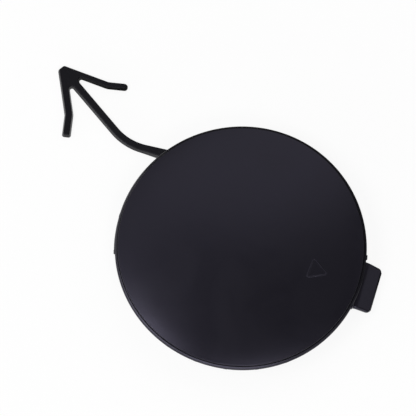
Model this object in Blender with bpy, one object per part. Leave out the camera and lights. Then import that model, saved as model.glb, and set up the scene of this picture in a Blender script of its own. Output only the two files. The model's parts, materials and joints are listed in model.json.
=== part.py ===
# Bumper tow hook cover: a round moulded cap for the towing eye hole of a bumper.
# One moulding: domed face, rear skirt, centring ribs, snap latch, tongue and a
# captive tether with a barbed anchor. Metres, +Z out of the face, foot at Z = 0.
# Angles are in degrees, counted from +X towards +Y about the axis of the face.

from math import acos, atan2, cos, degrees, pi, radians, sin, sqrt, tan

import bmesh
import bpy
from mathutils import Matrix, Vector

# Face and its edge
FACE_RADIUS = 0.040
FACE_WALL = 0.0022
EDGE_HEIGHT = 0.0023
EDGE_ROUND = 0.0008
LEDGE_WIDTH = 0.0004
LEDGE_DROP = 0.0011
EDGE_BREAK = 0.00025
TIGHT_CROWN_RADIUS = 0.150
EASY_CROWN_RADIUS = 0.240
EASY_CROWN_ANGLE = 44.0

# Skirt behind the face
SKIRT_INSET = 0.0034
SKIRT_WALL = 0.0018
SKIRT_DEPTH = 0.0095
SKIRT_DRAFT = 1.5
FOOT_BREAK = 0.0003
OUTER_FILLET = 0.0005
INNER_FILLET = 0.0010

# Bumper skin that the latch and the tongue hook behind
BUMPER_SKIN = 0.0025
SKIN_CLEARANCE = 0.0003

# Centring ribs between the edge and the skirt, and one on each shoulder of the tongue
RIB_COUNT = 25
RIB_START_ANGLE = -39.4
RIB_THICKNESS = 0.0013
RIB_SHY = 0.00015
RIB_LAND = 0.0014
RIB_DEPTH = 0.0058
SHOULDER_OFFSET = 0.00035
SHOULDER_PROUD = 0.0003

# Snap latch: a finger of the skirt between two slots, with a catch outside
LATCH_ANGLE = 171.7
LATCH_WIDTH = 0.0132
LATCH_PROUD = 0.00025
LATCH_LAND = 0.0012
LATCH_LEAD_IN = 0.0014
LATCH_BREAK = 0.0004
LATCH_WEB_WIDTH = 0.0011
LATCH_WEB_PROUD = 0.0001
SLOT_WIDTH = 0.0012
SLOT_ROOM = 0.0009

# Tongue opposite the latch
TONGUE_ANGLE = -16.2
TONGUE_PROUD = 0.0046
TONGUE_WIDTH = 0.0161
TONGUE_TIP_WIDTH = 0.0149
TONGUE_THICKNESS = 0.0020
TONGUE_SLOPE = 30.0
TONGUE_BEND_RADIUS = 0.0022
TONGUE_CORNER = 0.0020
TONGUE_BREAK = 0.00045
GUSSET_THICKNESS = 0.0014
GUSSET_SPACING = 0.0086
GUSSET_REACH = 0.0050

# Stiffening ribs across the hollow back, from the tongue's side to the latch
SPINE_COUNT = 2
SPINE_SPACING = 0.0180
SPINE_THICKNESS = 0.0012
SPINE_HEIGHT = 0.0024

# Tether: a flat strap that leaves the skirt at a slant and ends in an anchor
TETHER_LIFT = 0.0003
TETHER_WIDTH = 0.0028
TETHER_HEIGHT = 0.0020
TETHER_ROOT_WIDTH = 0.0041
TETHER_ROOT_HEIGHT = 0.0034
TETHER_ROOT_LENGTH = 0.0140
TETHER_DRAFT = 12.0
TETHER_BREAK = 0.00025
TETHER_CORNER_ANGLE = 134.8
TETHER_CORNER_GAP = 0.0120
TETHER_ROOT_DIRECTION = -17.1
TETHER_DIRECTION = 129.2
TETHER_BEND_RADIUS = 0.018
TETHER_LENGTH = 0.0325

# Anchor: an arrow head, turned a little on the strap, with two springy barbs
HEAD_DIRECTION = 128.6
BARB_WIDTH = 0.0023
BARB_SPREAD = 30.5
BARB_LENGTH = 0.0150
BARB_FLARE = 15.0
BARB_BEND_RADIUS = 0.0045
BARB_END_LENGTH = 0.0046
LONG_BARB_END_LENGTH = 0.0056
BARB_CORNER = 0.0006
ANCHOR_TIP_WIDTH = 0.0023
ANCHOR_TIP_CORNER = 0.0008
CROTCH_RADIUS = 0.00065

# Facets
TURN_STEPS = 96
FACE_RINGS = 6
BACK_RINGS = 4
ROUND_STEPS = 3
END_STEPS = 6
CORNER_STEPS = 3
BEND_STEPS = 5

# Radii that follow from the sizes above, and how far joined shapes run into each other
SKIRT_RADIUS = FACE_RADIUS - SKIRT_INSET
WALL_MIDDLE = SKIRT_RADIUS - SKIRT_WALL / 2
TONGUE_REACH = FACE_RADIUS + TONGUE_PROUD
EMBED = 0.0007

NODE_NAME = "tow_hook_cover"
PLASTIC_COLOUR = (0.018, 0.0175, 0.021, 1.0)
PLASTIC_ROUGHNESS = 0.42


def clear_scene():
    for item in list(bpy.data.objects):
        bpy.data.objects.remove(item, do_unlink=True)


def plastic():
    material = bpy.data.materials.new("black_plastic")
    material.use_nodes = True
    shader = material.node_tree.nodes["Principled BSDF"]
    shader.inputs["Base Color"].default_value = PLASTIC_COLOUR
    shader.inputs["Roughness"].default_value = PLASTIC_ROUGHNESS
    shader.inputs["Metallic"].default_value = 0.0
    return material


def add_object(name, bm):
    bmesh.ops.recalc_face_normals(bm, faces=bm.faces[:])
    mesh = bpy.data.meshes.new(name)
    bm.to_mesh(mesh)
    bm.free()
    item = bpy.data.objects.new(name, mesh)
    bpy.context.scene.collection.objects.link(item)
    return item


def hide_guide(item):
    item.hide_render = True
    item.display_type = "WIRE"


def combine(body, tool, operation):
    cut = body.modifiers.new(tool.name, "BOOLEAN")
    cut.object = tool
    cut.operation = operation
    cut.solver = "EXACT"
    hide_guide(tool)


# Heights. The face is an ellipsoid cap, so its edge rises and falls as it goes round.

def crown_drop(x, y):
    turn = radians(EASY_CROWN_ANGLE)
    easy = x * cos(turn) + y * sin(turn)
    tight = y * cos(turn) - x * sin(turn)
    return easy ** 2 / (2 * EASY_CROWN_RADIUS) + tight ** 2 / (2 * TIGHT_CROWN_RADIUS)


def mean_edge_drop():
    return FACE_RADIUS ** 2 / 4 * (1 / EASY_CROWN_RADIUS + 1 / TIGHT_CROWN_RADIUS)


def face_height(x, y):
    return SKIRT_DEPTH + EDGE_HEIGHT + mean_edge_drop() - crown_drop(x, y)


def polar(radius, angle, height=0.0):
    return Vector((radius * cos(angle), radius * sin(angle), height))


def edge_underside(angle_degrees, radius=FACE_RADIUS):
    place = polar(radius, radians(angle_degrees))
    return face_height(place.x, place.y) - EDGE_HEIGHT


def hook_height(angle_degrees):
    return edge_underside(angle_degrees) - BUMPER_SKIN - SKIN_CLEARANCE


# Cap: one turned section. A point is (radius, drop below the face, height above the
# foot), and the one of the last two that doesn't apply is None.

def arc(centre_radius, centre_drop, radius, start, end, steps):
    points = []
    for step in range(steps + 1):
        turn = radians(start + (end - start) * step / steps)
        points.append((centre_radius + radius * cos(turn), centre_drop - radius * sin(turn), None))
    return points


def face_section():
    edge_start = FACE_RADIUS - LEDGE_WIDTH - EDGE_ROUND
    points = []
    for ring in range(1, FACE_RINGS):
        points.append((edge_start * ring / FACE_RINGS, 0.0, None))
    points += arc(edge_start, EDGE_ROUND, EDGE_ROUND, 90, 0, ROUND_STEPS)
    points.append((FACE_RADIUS - LEDGE_WIDTH, LEDGE_DROP, None))
    points.append((FACE_RADIUS - EDGE_BREAK, LEDGE_DROP, None))
    points.append((FACE_RADIUS, LEDGE_DROP + EDGE_BREAK, None))
    points.append((FACE_RADIUS, EDGE_HEIGHT - EDGE_BREAK, None))
    points.append((FACE_RADIUS - EDGE_BREAK, EDGE_HEIGHT, None))
    return points


def skirt_section():
    inner = SKIRT_RADIUS - SKIRT_WALL
    lean = tan(radians(SKIRT_DRAFT)) * SKIRT_DEPTH / 2
    outer_centre = EDGE_HEIGHT + OUTER_FILLET
    inner_centre = FACE_WALL + INNER_FILLET
    points = arc(SKIRT_RADIUS + OUTER_FILLET, outer_centre, OUTER_FILLET, 90, 180, ROUND_STEPS - 1)
    points.append((SKIRT_RADIUS - lean, None, FOOT_BREAK))
    points.append((SKIRT_RADIUS - lean - FOOT_BREAK, None, 0.0))
    points.append((inner + lean + FOOT_BREAK, None, 0.0))
    points.append((inner + lean, None, FOOT_BREAK))
    points += arc(inner - INNER_FILLET, inner_centre, INNER_FILLET, 0, 90, ROUND_STEPS - 1)
    return points


def back_section():
    start = SKIRT_RADIUS - SKIRT_WALL - INNER_FILLET
    points = []
    for ring in range(BACK_RINGS - 1, 0, -1):
        points.append((start * ring / BACK_RINGS, FACE_WALL, None))
    return points


def section_point(point, angle):
    radius, drop, height = point
    place = polar(radius, angle)
    place.z = height if drop is None else face_height(place.x, place.y) - drop
    return place


def build_cap():
    section = face_section() + skirt_section() + back_section()
    bm = bmesh.new()
    top = bm.verts.new((0, 0, face_height(0, 0)))
    bottom = bm.verts.new((0, 0, face_height(0, 0) - FACE_WALL))
    spokes = []
    for step in range(TURN_STEPS):
        angle = 2 * pi * step / TURN_STEPS
        spokes.append([bm.verts.new(section_point(point, angle)) for point in section])
    for step in range(TURN_STEPS):
        here = spokes[step]
        after = spokes[(step + 1) % TURN_STEPS]
        bm.faces.new((top, here[0], after[0]))
        for row in range(len(section) - 1):
            bm.faces.new((here[row], here[row + 1], after[row + 1], after[row]))
        bm.faces.new((bottom, after[-1], here[-1]))
    return add_object(NODE_NAME, bm)


# Shapes drawn in the upright plane through the axis: (radius, height) outlines

def extrude_outline(bm, outline, angle_degrees, offset, thickness):
    turn = Matrix.Rotation(radians(angle_degrees), 3, "Z")
    sides = []
    for side in (offset - thickness / 2, offset + thickness / 2):
        sides.append([bm.verts.new(turn @ Vector((r, side, z))) for r, z in outline])
    count = len(outline)
    bm.faces.new(sides[0])
    bm.faces.new(reversed(sides[1]))
    for step in range(count):
        after = (step + 1) % count
        bm.faces.new((sides[0][after], sides[0][step], sides[1][step], sides[1][after]))


def turn_outline(bm, outline, start_degrees, end_degrees, steps):
    rows = []
    for step in range(steps + 1):
        angle = radians(start_degrees + (end_degrees - start_degrees) * step / steps)
        rows.append([bm.verts.new(polar(r, angle, z)) for r, z in outline])
    count = len(outline)
    bm.faces.new(rows[0])
    bm.faces.new(reversed(rows[-1]))
    for here, after in zip(rows, rows[1:]):
        for point in range(count):
            other = (point + 1) % count
            bm.faces.new((here[other], here[point], after[point], after[other]))


def angle_gap(first, second):
    return abs((first - second + 180) % 360 - 180)


def width_angle(width, radius):
    return degrees(width / radius)


# Centring ribs

def rib_outline(angle_degrees, proud):
    under = edge_underside(angle_degrees)
    reach = FACE_RADIUS + proud
    return [
        (WALL_MIDDLE, edge_underside(angle_degrees, WALL_MIDDLE) + EMBED),
        (reach, under + EMBED),
        (reach, under + EMBED - RIB_LAND),
        (WALL_MIDDLE, under - RIB_DEPTH),
    ]


def rib_is_free(angle_degrees):
    latch_room = width_angle(LATCH_WIDTH / 2 + SLOT_WIDTH + RIB_THICKNESS, SKIRT_RADIUS)
    tongue_room = width_angle(TONGUE_WIDTH / 2 + RIB_THICKNESS / 2, FACE_RADIUS)
    tether_room = width_angle(TETHER_ROOT_WIDTH + RIB_THICKNESS / 2, FACE_RADIUS)
    return (
        angle_gap(angle_degrees, LATCH_ANGLE) > latch_room
        and angle_gap(angle_degrees, TONGUE_ANGLE) > tongue_room
        and angle_gap(angle_degrees, tether_crossing(FACE_RADIUS)) > tether_room
    )


def build_ribs():
    shoulder = width_angle(TONGUE_WIDTH / 2 + SHOULDER_OFFSET, FACE_RADIUS)
    bm = bmesh.new()
    for step in range(RIB_COUNT):
        angle = RIB_START_ANGLE + 360 * step / RIB_COUNT
        if rib_is_free(angle):
            extrude_outline(bm, rib_outline(angle, -RIB_SHY), angle, 0.0, RIB_THICKNESS)
    for angle in (TONGUE_ANGLE - shoulder, TONGUE_ANGLE + shoulder):
        extrude_outline(bm, rib_outline(angle, SHOULDER_PROUD), angle, 0.0, RIB_THICKNESS)
    return add_object("centring_ribs", bm)


# Snap latch

def catch_outline(proud):
    top = hook_height(LATCH_ANGLE)
    reach = FACE_RADIUS + proud
    return [
        (WALL_MIDDLE, top),
        (reach - LATCH_BREAK, top),
        (reach, top - LATCH_BREAK),
        (reach, top - LATCH_BREAK - LATCH_LAND),
        (SKIRT_RADIUS, LATCH_LEAD_IN),
        (WALL_MIDDLE, LATCH_LEAD_IN),
    ]


def build_catch():
    half = width_angle(LATCH_WIDTH / 2, FACE_RADIUS)
    bm = bmesh.new()
    turn_outline(bm, catch_outline(LATCH_PROUD), LATCH_ANGLE - half, LATCH_ANGLE + half, BEND_STEPS)
    return add_object("latch_catch", bm)


def build_catch_webs():
    half = width_angle(LATCH_WIDTH / 2, FACE_RADIUS)
    web = width_angle(LATCH_WEB_WIDTH, FACE_RADIUS)
    outline = catch_outline(LATCH_PROUD + LATCH_WEB_PROUD)
    bm = bmesh.new()
    turn_outline(bm, outline, LATCH_ANGLE - half, LATCH_ANGLE - half + web, 1)
    turn_outline(bm, outline, LATCH_ANGLE + half - web, LATCH_ANGLE + half, 1)
    return add_object("latch_webs", bm)


def build_slots():
    top = hook_height(LATCH_ANGLE) + SLOT_ROOM
    inner = SKIRT_RADIUS - SKIRT_WALL - EMBED
    outer = SKIRT_RADIUS + EMBED
    outline = [(inner, -EMBED), (outer, -EMBED), (outer, top), (inner, top)]
    offset = (LATCH_WIDTH * SKIRT_RADIUS / FACE_RADIUS + SLOT_WIDTH) / 2
    bm = bmesh.new()
    for side in (-offset, offset):
        extrude_outline(bm, outline, LATCH_ANGLE, side, SLOT_WIDTH)
    return add_object("latch_slots", bm)


# Tongue: sections set along a path that leaves the skirt level and bends down

def tongue_half_width(radius):
    share = (radius - SKIRT_RADIUS) / (TONGUE_REACH - SKIRT_RADIUS)
    half = (TONGUE_WIDTH + (TONGUE_TIP_WIDTH - TONGUE_WIDTH) * max(share, 0.0)) / 2
    past = radius - (TONGUE_REACH - TONGUE_CORNER)
    if past > 0:
        half -= TONGUE_CORNER - sqrt(max(TONGUE_CORNER ** 2 - past ** 2, 0.0))
    return half


def tongue_path():
    level = hook_height(TONGUE_ANGLE) - TONGUE_THICKNESS / 2
    slope = radians(TONGUE_SLOPE)
    bend = TONGUE_BEND_RADIUS
    bend_start = FACE_RADIUS - bend * sin(slope) / 2
    path = [(WALL_MIDDLE, level, 0.0)]
    for step in range(BEND_STEPS):
        turn = slope * step / (BEND_STEPS - 1)
        path.append((bend_start + bend * sin(turn), level - bend * (1 - cos(turn)), turn))
    last_radius, last_height, _ = path[-1]
    corner_start = TONGUE_REACH - TONGUE_CORNER
    for step in range(END_STEPS):
        turn = pi / 2 * step / (END_STEPS - 1)
        radius = corner_start + (TONGUE_CORNER - TONGUE_BREAK / 2) * sin(turn)
        path.append((radius, last_height - (radius - last_radius) * tan(slope), slope))
    path.append((TONGUE_REACH, last_height - (TONGUE_REACH - last_radius) * tan(slope), slope))
    return path


def tongue_section(radius, height, slope, tip):
    half = tongue_half_width(radius)
    across = TONGUE_THICKNESS / 2
    rim = across - (TONGUE_BREAK if tip else 0.0)
    shape = [
        (-half + TONGUE_BREAK, -rim),
        (-half, -across + TONGUE_BREAK),
        (-half, across - TONGUE_BREAK),
        (-half + TONGUE_BREAK, rim),
        (half - TONGUE_BREAK, rim),
        (half, across - TONGUE_BREAK),
        (half, -across + TONGUE_BREAK),
        (half - TONGUE_BREAK, -rim),
    ]
    return [Vector((radius + n * sin(slope), v, height + n * cos(slope))) for v, n in shape]


def build_tongue():
    turn = Matrix.Rotation(radians(TONGUE_ANGLE), 3, "Z")
    path = tongue_path()
    bm = bmesh.new()
    rows = []
    for step, (radius, height, slope) in enumerate(path):
        points = tongue_section(radius, height, slope, step == len(path) - 1)
        rows.append([bm.verts.new(turn @ point) for point in points])
    bm.faces.new(rows[0])
    bm.faces.new(reversed(rows[-1]))
    for here, after in zip(rows, rows[1:]):
        for point in range(len(here)):
            other = (point + 1) % len(here)
            bm.faces.new((here[other], here[point], after[point], after[other]))
    return add_object("tongue", bm)


def build_gussets():
    level = hook_height(TONGUE_ANGLE) - TONGUE_THICKNESS
    reach = SKIRT_RADIUS + GUSSET_REACH
    outline = [
        (WALL_MIDDLE, level + EMBED),
        (FACE_RADIUS - TONGUE_BEND_RADIUS, level + EMBED),
        (reach, level - (reach - FACE_RADIUS) * tan(radians(TONGUE_SLOPE)) + EMBED),
        (SKIRT_RADIUS, FOOT_BREAK + EMBED),
        (WALL_MIDDLE, FOOT_BREAK + EMBED),
    ]
    bm = bmesh.new()
    for side in (-GUSSET_SPACING / 2, GUSSET_SPACING / 2):
        extrude_outline(bm, outline, TONGUE_ANGLE, side, GUSSET_THICKNESS)
    return add_object("tongue_gussets", bm)


# Stiffening ribs across the back

def build_spines():
    turn = Matrix.Rotation(radians((LATCH_ANGLE - 180 + TONGUE_ANGLE) / 2), 3, "Z")
    bm = bmesh.new()
    for copy in range(SPINE_COUNT):
        offset = SPINE_SPACING * (copy - (SPINE_COUNT - 1) / 2)
        half_length = sqrt(WALL_MIDDLE ** 2 - (abs(offset) + SPINE_THICKNESS / 2) ** 2)
        add_spine(bm, turn, offset, half_length)
    return add_object("stiffening_ribs", bm)


def add_spine(bm, turn, offset, half_length):
    rows = []
    for step in range(BACK_RINGS * 2 + 1):
        along = half_length * (step / BACK_RINGS - 1)
        row = []
        for side in (offset - SPINE_THICKNESS / 2, offset + SPINE_THICKNESS / 2):
            place = turn @ Vector((along, side, 0))
            top = face_height(place.x, place.y) - FACE_WALL + EMBED
            row.append(bm.verts.new((place.x, place.y, top)))
            row.append(bm.verts.new((place.x, place.y, top - EMBED - SPINE_HEIGHT)))
        rows.append((row[0], row[1], row[3], row[2]))
    bm.faces.new(rows[0])
    bm.faces.new(reversed(rows[-1]))
    for here, after in zip(rows, rows[1:]):
        for point in range(4):
            other = (point + 1) % 4
            bm.faces.new((here[other], here[point], after[point], after[other]))


# Tether. Its outline is drawn flat, for a moulding that narrows by its draft towards
# the top: each outline point is (place, height share), the same at every level.

def heading(angle_degrees):
    return Vector((cos(radians(angle_degrees)), sin(radians(angle_degrees))))


def left_of(direction):
    return Vector((-direction.y, direction.x))


def tether_corner():
    return heading(TETHER_CORNER_ANGLE) * (FACE_RADIUS + TETHER_CORNER_GAP)


def line_to_circle(start, direction, radius):
    along = start.dot(direction)
    return start + direction * (-along - sqrt(along ** 2 - start.length_squared + radius ** 2))


def tether_crossing(radius):
    place = line_to_circle(tether_corner(), heading(TETHER_ROOT_DIRECTION), radius)
    return degrees(atan2(place.y, place.x))


def tether_bend():
    root = heading(TETHER_ROOT_DIRECTION)
    away = heading(TETHER_DIRECTION)
    turn = pi - acos(root.dot(away))
    reach = TETHER_BEND_RADIUS * tan(turn / 2)
    start = tether_corner() + root * reach
    centre = start + left_of(root) * TETHER_BEND_RADIUS
    return start, centre, turn


def tether_stations():
    root = heading(TETHER_ROOT_DIRECTION)
    start, centre, turn = tether_bend()
    seat = line_to_circle(tether_corner(), root, WALL_MIDDLE)
    stations = []
    for step in range(BEND_STEPS):
        stations.append((seat.lerp(start, step / BEND_STEPS), -root))
    for step in range(BEND_STEPS + 1):
        swing = Matrix.Rotation(-turn * step / BEND_STEPS, 2)
        stations.append((centre + swing @ (start - centre), swing @ -root))
    return stations, seat


def anchor_frame():
    tip = tether_corner() + heading(TETHER_DIRECTION) * TETHER_LENGTH
    back = -heading(HEAD_DIRECTION)
    return tip, back, left_of(back)


def anchor_side(shrink, end_length):
    spread = radians(BARB_SPREAD)
    half = BARB_WIDTH / 2
    along = Vector((cos(spread), sin(spread)))
    aside = Vector((-sin(spread), cos(spread)))
    start = (half - ANCHOR_TIP_WIDTH / 2 * cos(spread)) / sin(spread)
    barb = Vector((start, 0.0))
    outer = half - shrink
    bend_centre = barb + along * BARB_LENGTH + aside * BARB_BEND_RADIUS
    points = tip_corner(start, spread, shrink)
    points += barb_edge(bend_centre, spread, outer)
    points += barb_end(bend_centre, spread, outer, end_length)
    points += reversed(barb_edge(bend_centre, spread, -outer))
    points += crotch(barb, along, aside, shrink)
    return points


def tip_corner(start, spread, shrink):
    rise = BARB_WIDTH / 2 - ANCHOR_TIP_CORNER + (ANCHOR_TIP_CORNER - start) * sin(spread)
    centre = Vector((ANCHOR_TIP_CORNER, rise / cos(spread)))
    points = []
    for step in range(ROUND_STEPS + 1):
        swing = pi - (pi / 2 - spread) * step / ROUND_STEPS
        points.append(centre + Vector((cos(swing), sin(swing))) * (ANCHOR_TIP_CORNER - shrink))
    return points


def barb_edge(centre, spread, offset):
    points = []
    for step in range(BEND_STEPS):
        turn = spread + radians(BARB_FLARE) * step / (BEND_STEPS - 1)
        radial = Vector((sin(turn), -cos(turn)))
        points.append(centre + radial * (BARB_BEND_RADIUS - offset))
    return points


def barb_end(centre, spread, half, length):
    turn = spread + radians(BARB_FLARE)
    radial = Vector((sin(turn), -cos(turn)))
    corner = BARB_CORNER * half / (BARB_WIDTH / 2)
    middle = centre + radial * BARB_BEND_RADIUS + left_of(radial) * (length + half - corner)
    points = []
    for side in (-1, 1):
        for step in range(CORNER_STEPS + 1):
            swing = pi / 2 * (step / CORNER_STEPS + (side + 1) / 2)
            across = side * (half - corner) - corner * cos(swing)
            points.append(middle + radial * across + left_of(radial) * corner * sin(swing))
    return points


def crotch(barb, along, aside, shrink):
    edge = TETHER_WIDTH / 2 + CROTCH_RADIUS
    reach = BARB_WIDTH / 2 + CROTCH_RADIUS
    centre_x = barb.x + (reach + edge * along.x) / along.y
    centre = Vector((centre_x, edge))
    first = atan2(aside.y, aside.x)
    points = []
    for step in range(END_STEPS):
        swing = first + (3 * pi / 2 - first) * step / (END_STEPS - 1)
        place = Vector((cos(swing), sin(swing)))
        points.append(centre + place * (CROTCH_RADIUS + shrink))
    return points


def anchor_outline(shrink):
    tip, back, side = anchor_frame()
    short = anchor_side(shrink, BARB_END_LENGTH)
    long = anchor_side(shrink, LONG_BARB_END_LENGTH)
    right = [tip + back * p.x + side * p.y for p in short]
    left = [tip + back * p.x - side * p.y for p in long]
    return left, right


def strap_edges(shrink):
    stations, seat = tether_stations()
    sides = ([], [])
    for place, direction in stations:
        share = max(0.0, 1 - (place - seat).length / TETHER_ROOT_LENGTH)
        half = (TETHER_WIDTH + (TETHER_ROOT_WIDTH - TETHER_WIDTH) * share) / 2 - shrink
        for points, sign in zip(sides, (1, -1)):
            point = place + left_of(direction) * half * sign
            if place == stations[0][0]:
                point = line_to_circle(point, -direction, WALL_MIDDLE)
            points.append((point, share))
    return sides


def tether_height(share):
    return TETHER_HEIGHT + (TETHER_ROOT_HEIGHT - TETHER_HEIGHT) * share


def tether_ring(bm, shrink, below_top):
    strap_left, strap_right = strap_edges(shrink)
    anchor_left, anchor_right = anchor_outline(shrink)
    anchor = list(reversed(anchor_right)) + anchor_left
    outline = strap_right + [(p, 0.0) for p in anchor] + list(reversed(strap_left))
    ring = []
    for place, share in outline:
        height = 0.0 if below_top is None else tether_height(share) - below_top
        ring.append(bm.verts.new((place.x, place.y, TETHER_LIFT + height)))
    return ring


def tether_cap(bm, ring):
    stations = len(tether_stations()[0])
    for step in range(stations - 1):
        bm.faces.new((ring[step], ring[step + 1], ring[-step - 2], ring[-step - 1]))
    bm.faces.new(ring[stations - 1:len(ring) - stations + 1])


def build_tether():
    slope = tan(radians(TETHER_DRAFT))
    bm = bmesh.new()
    rings = [
        tether_ring(bm, 0.0, None),
        tether_ring(bm, slope * (TETHER_HEIGHT - TETHER_BREAK), TETHER_BREAK),
        tether_ring(bm, slope * TETHER_HEIGHT + TETHER_BREAK, 0.0),
    ]
    for lower, upper in zip(rings, rings[1:]):
        for step in range(len(lower)):
            after = (step + 1) % len(lower)
            bm.faces.new((lower[step], lower[after], upper[after], upper[step]))
    tether_cap(bm, rings[0])
    tether_cap(bm, rings[-1])
    return add_object("tether", bm)


def plan_middle(item):
    depsgraph = bpy.context.evaluated_depsgraph_get()
    mesh = item.evaluated_get(depsgraph).to_mesh()
    xs = [vertex.co.x for vertex in mesh.vertices]
    ys = [vertex.co.y for vertex in mesh.vertices]
    return Vector(((min(xs) + max(xs)) / 2, (min(ys) + max(ys)) / 2, 0))


def build_cover():
    clear_scene()
    cover = build_cap()
    combine(cover, build_slots(), "DIFFERENCE")
    additions = (build_ribs, build_catch, build_catch_webs, build_tongue, build_gussets)
    for build in additions + (build_spines, build_tether):
        combine(cover, build(), "UNION")
    cover.data.materials.append(plastic())
    cover.data.shade_smooth()
    cover.data.set_sharp_from_angle(angle=radians(35))
    middle = plan_middle(cover)
    for item in bpy.data.objects:
        item.location = -middle


build_cover()
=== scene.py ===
# Bumper tow hook cover: the looks of its one black moulding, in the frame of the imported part.
import json
from math import acos, atan2, cos, degrees, pi, radians, sin, sqrt, tan

import bmesh
import bpy
from mathutils import Matrix, Vector


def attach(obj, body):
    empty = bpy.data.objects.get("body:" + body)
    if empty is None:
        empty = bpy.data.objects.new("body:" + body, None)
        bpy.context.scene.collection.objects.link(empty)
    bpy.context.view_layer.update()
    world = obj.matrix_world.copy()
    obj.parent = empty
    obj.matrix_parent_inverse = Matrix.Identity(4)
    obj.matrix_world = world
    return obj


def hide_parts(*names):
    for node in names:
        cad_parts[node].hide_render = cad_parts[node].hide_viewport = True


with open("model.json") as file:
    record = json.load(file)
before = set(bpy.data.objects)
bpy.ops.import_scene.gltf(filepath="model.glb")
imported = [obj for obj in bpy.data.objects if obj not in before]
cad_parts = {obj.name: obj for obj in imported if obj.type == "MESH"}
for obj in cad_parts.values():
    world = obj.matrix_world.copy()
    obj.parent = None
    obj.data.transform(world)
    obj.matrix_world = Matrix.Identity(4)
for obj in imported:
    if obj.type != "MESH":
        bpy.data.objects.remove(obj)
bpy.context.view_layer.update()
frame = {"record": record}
mm = 0.001
overlap = 0.7  # how far joined forms run into each other, in millimetres
sharpAngle = 30.0  # edges of a form that are rounded off turn by more than this
smoothAngle = 35.0  # edges of the whole moulding that stay crisp turn by more than this
print("frame loaded")


# Every form is drawn in millimetres about the axis of the face, foot at zero, with angles
# in degrees from +X towards +Y. It is scaled and set on the axis when the moulding is whole.

def polar(radius, angle, z=0.0):
    return Vector((radius * cos(radians(angle)), radius * sin(radians(angle)), z))


def upright(radius, side, z, angle):  # a point of the upright plane through the axis
    return Matrix.Rotation(radians(angle), 3, "Z") @ Vector((radius, side, z))


def arcPoints(centreX, centreY, radius, start, end, steps):
    points = []
    for step in range(steps + 1):
        turn = radians(start + (end - start) * step / steps)
        points.append((centreX + radius * cos(turn), centreY + radius * sin(turn)))
    return points


def between(first, last, steps):  # the points inside a straight stretch, without its ends
    (firstX, firstY), (lastX, lastY) = first, last
    share = [step / steps for step in range(1, steps)]
    return [(firstX + (lastX - firstX) * s, firstY + (lastY - firstY) * s) for s in share]


def sweepRows(bm, rows, closed=False):
    rings = [[bm.verts.new(point) for point in row] for row in rows]
    pairs = list(zip(rings, rings[1:]))
    if closed:
        pairs.append((rings[-1], rings[0]))
    else:
        bm.faces.new(rings[0])
        bm.faces.new(reversed(rings[-1]))
    for here, after in pairs:
        for step in range(len(here)):
            other = (step + 1) % len(here)
            bm.faces.new((here[other], here[step], after[step], after[other]))


def softenEdges(bm, width):
    bmesh.ops.recalc_face_normals(bm, faces=bm.faces[:])
    sharp = [edge for edge in bm.edges if edge.calc_face_angle(0) > radians(sharpAngle)]
    bmesh.ops.bevel(bm, geom=sharp, offset=width, segments=2, profile=0.5, affect="EDGES",
                    clamp_overlap=True)


def newForm(name, bm):
    bmesh.ops.recalc_face_normals(bm, faces=bm.faces[:])
    mesh = bpy.data.meshes.new(name)
    bm.to_mesh(mesh)
    bm.free()
    form = bpy.data.objects.new(name, mesh)
    bpy.context.scene.collection.objects.link(form)
    return form


# Cap: domed face, stepped edge, skirt and hollow back, turned as one section

cap = {
    "radius": 40.0,
    "wall": 2.2,
    "edgeHeight": 2.3,
    "edgeRound": 0.22,
    "rollStart": 30.0,  # from this radius on the face bends down a little more
    "rollDrop": 0.32,
    "ledgeWidth": 0.92,  # the step below the face
    "ledgeDrop": 1.15,
    "ledgeFillet": 0.05,
    "beadRise": 0.18,  # from the groove inside the ledge to the top of its broken edge
    "edgeBreak": 0.7,
    "breakSlopes": (54, 36),  # the broken edge bulges between these slopes
    "underBreak": 0.25,
    "tightCrown": 150.0,  # radii of the dome, across and along the easy direction
    "easyCrown": 240.0,
    "easyAngle": 44.0,
    "skirtInset": 3.4,
    "skirtWall": 1.8,
    "skirtDepth": 9.5,
    "skirtDraft": 1.5,
    "footRound": 0.3,
    "outerFillet": 0.5,
    "innerFillet": 1.0,
    "turnSteps": 192,
    "faceRings": 36,
    "backRings": 12,
    "wallRows": 6,
    "edgeSteps": 7,
    "ledgeSteps": 3,
    "breakSteps": 4,
    "footSteps": 4,
    "outerSteps": 5,
    "innerSteps": 6,
}
skirtRadius = cap["radius"] - cap["skirtInset"]
wallMiddle = skirtRadius - cap["skirtWall"] / 2
# how far the edge of the face lies below its middle, on average round the edge
edgeDrop = cap["radius"] ** 2 / 4 * (1 / cap["easyCrown"] + 1 / cap["tightCrown"])
crownTop = cap["skirtDepth"] + cap["edgeHeight"] + edgeDrop


def crownDrop(x, y):
    easy = x * cos(radians(cap["easyAngle"])) + y * sin(radians(cap["easyAngle"]))
    tight = y * cos(radians(cap["easyAngle"])) - x * sin(radians(cap["easyAngle"]))
    return easy ** 2 / (2 * cap["easyCrown"]) + tight ** 2 / (2 * cap["tightCrown"])


def faceHeight(x, y):
    return crownTop - crownDrop(x, y)


def edgeUnderside(angle, radius=cap["radius"]):
    place = polar(radius, angle)
    return faceHeight(place.x, place.y) - cap["edgeHeight"]


def rollOff(radius):
    out = max(0.0, radius - cap["rollStart"]) / (cap["radius"] - cap["rollStart"])
    return cap["rollDrop"] * out ** 3


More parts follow.
